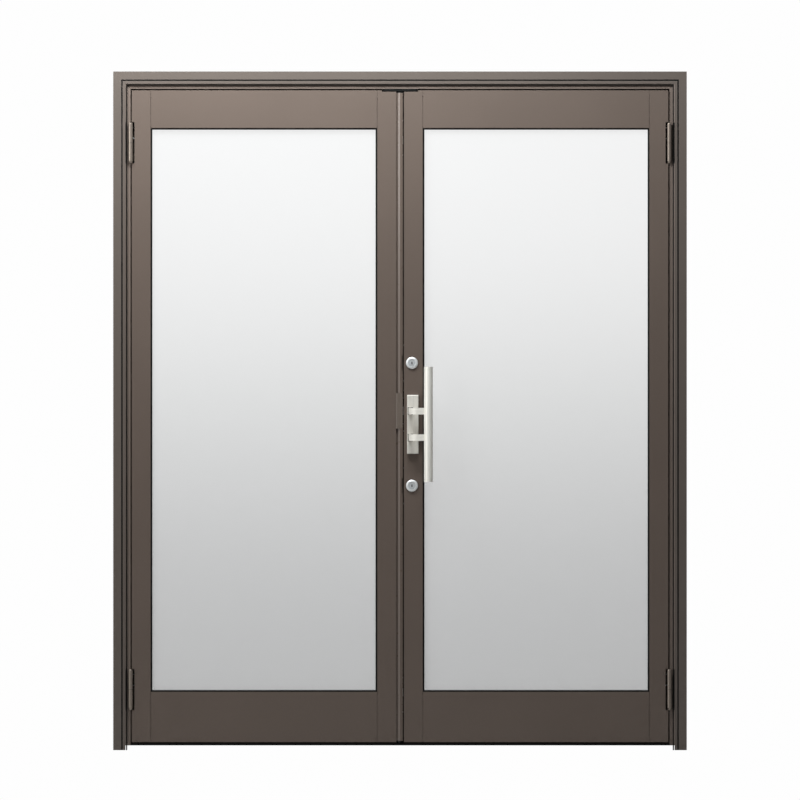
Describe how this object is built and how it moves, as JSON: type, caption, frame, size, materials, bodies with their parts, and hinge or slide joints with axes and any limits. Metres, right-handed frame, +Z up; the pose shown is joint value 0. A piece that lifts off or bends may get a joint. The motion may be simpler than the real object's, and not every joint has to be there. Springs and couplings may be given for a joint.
{
  "type": "double glazed entrance door with frame",
  "caption": "Outswing double-leaf glazed aluminium door in its own frame, with barrel hinges, push-pull handles, latch, locks and flush bolts.",
  "frame": {"origin": "centre of the threshold's underside, half way through the frame's depth", "axes": "+X to the right seen from outside, -Y to the outside, +Z up"},
  "size_m": [1.692, 0.17, 2.002],
  "materials": {
    "frame_paint": "satin",
    "leaf_paint": "satin",
    "hinge_paint": "satin",
    "dark_sill": "dark anodised",
    "mill_aluminium": "mill",
    "black_rubber": "matt",
    "black_nylon": "matt",
    "steel": "satin",
    "handle_metal": "hairline",
    "lock_metal": "satin",
    "glass": "satin, translucent"
  },
  "bodies": {
    "frame": {"left_casing_jamb": "frame_paint", "right_casing_jamb": "frame_paint", "casing_head": "frame_paint", "left_rebate_jamb": "frame_paint", "right_rebate_jamb": "frame_paint", "rebate_head": "frame_paint", "sill": "dark_sill", "frame_seal": "black_rubber", "casing_cleats": "mill_aluminium", "frame_screws": "steel", "head_keeper": "black_nylon", "sill_keeper": "steel", "frame_hinge_halves": "hinge_paint", "hinge_pins": "steel"},
    "left_leaf": {"left_hinge_stile": "leaf_paint", "left_meeting_stile": "leaf_paint", "left_top_rail": "leaf_paint", "left_bottom_rail": "leaf_paint", "left_glass": "glass", "left_outer_gasket": "black_rubber", "left_inner_gasket": "black_rubber", "left_glazing_beads": "leaf_paint", "left_setting_blocks": "black_rubber", "left_leaf_screws": "steel", "left_hinge_halves": "hinge_paint", "meeting_cover": "leaf_paint", "cover_end_caps": "black_nylon", "meeting_seal": "black_rubber", "strike_plate": "hinge_paint", "flush_bolt_plates": "steel"},
    "right_leaf": {"right_hinge_stile": "leaf_paint", "right_meeting_stile": "leaf_paint", "right_top_rail": "leaf_paint", "right_bottom_rail": "leaf_paint", "right_glass": "glass", "right_outer_gasket": "black_rubber", "right_inner_gasket": "black_rubber", "right_glazing_beads": "leaf_paint", "right_setting_blocks": "black_rubber", "right_leaf_screws": "steel", "right_hinge_halves": "hinge_paint", "outside_handle_plate": "handle_metal", "inside_handle_plate": "handle_metal", "latch_case": "steel", "lock_cases": "steel", "lock_cylinders": "lock_metal", "lock_escutcheons": "lock_metal"},
    "top_bolt": {"top_flush_bolt": "steel"},
    "bottom_bolt": {"bottom_flush_bolt": "steel"},
    "outside_handle": {"outside_handle_arms": "handle_metal", "outside_handle_bar": "handle_metal"},
    "inside_handle": {"inside_handle_arms": "handle_metal", "inside_handle_bar": "handle_metal"},
    "latch": {"latch_bolt": "steel"},
    "upper_bolt": {"upper_deadbolt": "steel"},
    "lower_bolt": {"lower_deadbolt": "steel"},
    "upper_turn": {"upper_key_plug": "lock_metal", "upper_thumb_turn": "lock_metal"},
    "lower_turn": {"lower_key_plug": "lock_metal", "lower_thumb_turn": "lock_metal"}
  },
  "joints": [
    {"name": "left_leaf_swing", "type": "hinge", "parent": "frame", "child": "left_leaf", "pos_m": [-0.795, -0.035, 0], "axis": [0, 0, -1], "range_deg": [0, 110]},
    {"name": "right_leaf_swing", "type": "hinge", "parent": "frame", "child": "right_leaf", "pos_m": [0.795, -0.035, 0], "axis": [0, 0, 1], "range_deg": [0, 110]},
    {"name": "top_flush_bolt_slide", "type": "slide", "parent": "left_leaf", "child": "top_bolt", "axis": [0, 0, 1], "range_m": [0, 0.014]},
    {"name": "bottom_flush_bolt_slide", "type": "slide", "parent": "left_leaf", "child": "bottom_bolt", "axis": [0, 0, -1], "range_m": [0, 0.014]},
    {"name": "outside_handle_pull", "type": "hinge", "parent": "right_leaf", "child": "outside_handle", "pos_m": [0.0295, -0.037, 0.947], "axis": [0, 0, -1], "range_deg": [0, 10], "stiffness_Nm_per_rad": 6, "springref_deg": -5.73},
    {"name": "inside_handle_push", "type": "hinge", "parent": "right_leaf", "child": "inside_handle", "pos_m": [0.0295, 0.015, 0.947], "axis": [0, 0, -1], "range_deg": [0, 10]},
    {"name": "latch_retract", "type": "slide", "parent": "right_leaf", "child": "latch", "axis": [1, 0, 0], "range_m": [0, 0.012]},
    {"name": "upper_deadbolt_throw", "type": "slide", "parent": "right_leaf", "child": "upper_bolt", "axis": [-1, 0, 0], "range_m": [0, 0.019]},
    {"name": "upper_turn_rotate", "type": "hinge", "parent": "right_leaf", "child": "upper_turn", "pos_m": [0.0353, -0.011, 1.128], "axis": [0, 1, 0], "range_deg": [0, 90]},
    {"name": "lower_deadbolt_throw", "type": "slide", "parent": "right_leaf", "child": "lower_bolt", "axis": [-1, 0, 0], "range_m": [0, 0.019]},
    {"name": "lower_turn_rotate", "type": "hinge", "parent": "right_leaf", "child": "lower_turn", "pos_m": [0.0353, -0.011, 0.766], "axis": [0, 1, 0], "range_deg": [0, 90]}
  ],
  "couplings": [
    {"joint": "inside_handle_push", "follows": "outside_handle_pull", "ratio": 1},
    {"joint": "latch_retract", "follows": "outside_handle_pull", "m_per_rad": 0.0687},
    {"joint": "upper_turn_rotate", "follows": "upper_deadbolt_throw", "rad_per_m": 82.6},
    {"joint": "lower_turn_rotate", "follows": "lower_deadbolt_throw", "rad_per_m": 82.6}
  ]
}
